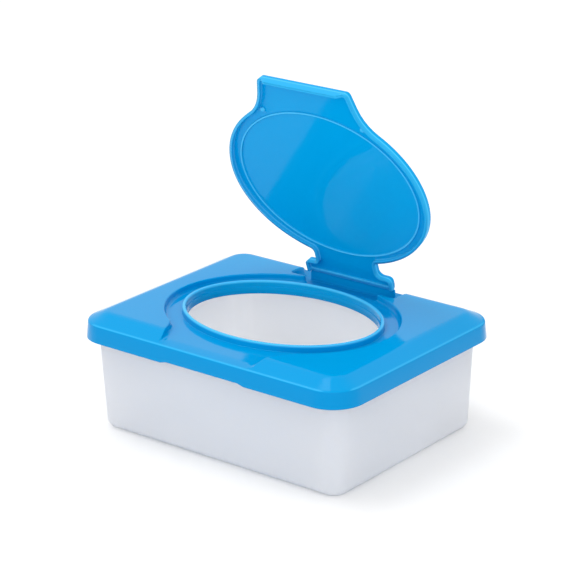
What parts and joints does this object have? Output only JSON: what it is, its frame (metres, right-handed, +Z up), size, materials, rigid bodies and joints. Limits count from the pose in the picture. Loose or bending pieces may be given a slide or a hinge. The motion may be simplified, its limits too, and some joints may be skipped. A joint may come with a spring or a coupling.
{
  "type": "countertop wipes dispenser",
  "caption": "Rectangular see-through tub with a push-on blue lid, whose oval dispensing mouth is covered by a flip lid on a living hinge.",
  "frame": {"origin": "centre of the tub's underside, at the level of the surface it stands on", "axes": "+Z up, +X to the right along the long front side, +Y from the front towards the hinge"},
  "size_m": [0.19, 0.148, 0.1982],
  "materials": {
    "tub_plastic": "natural frosted polypropylene, lets light through",
    "lid_plastic": "smooth moulded polypropylene, bright blue",
    "hinge_web": "thin moulded web of the same plastic as the lid"
  },
  "bodies": {
    "tub": {"tub": "tub_plastic"},
    "lid": {"lid_cover": "lid_plastic", "living_hinge": "hinge_web"},
    "flip": {"flip_lid": "lid_plastic"}
  },
  "joints": [
    {"name": "lid_lift", "type": "slide", "parent": "tub", "child": "lid", "axis": [0, 0, 1], "range_m": [0, 0.06]},
    {"name": "flip_hinge", "type": "hinge", "parent": "lid", "child": "flip", "pos_m": [0, 0.061, 0.0702], "axis": [-1, 0, 0], "range_deg": [-71, 50], "deforming": ["living_hinge"]}
  ]
}
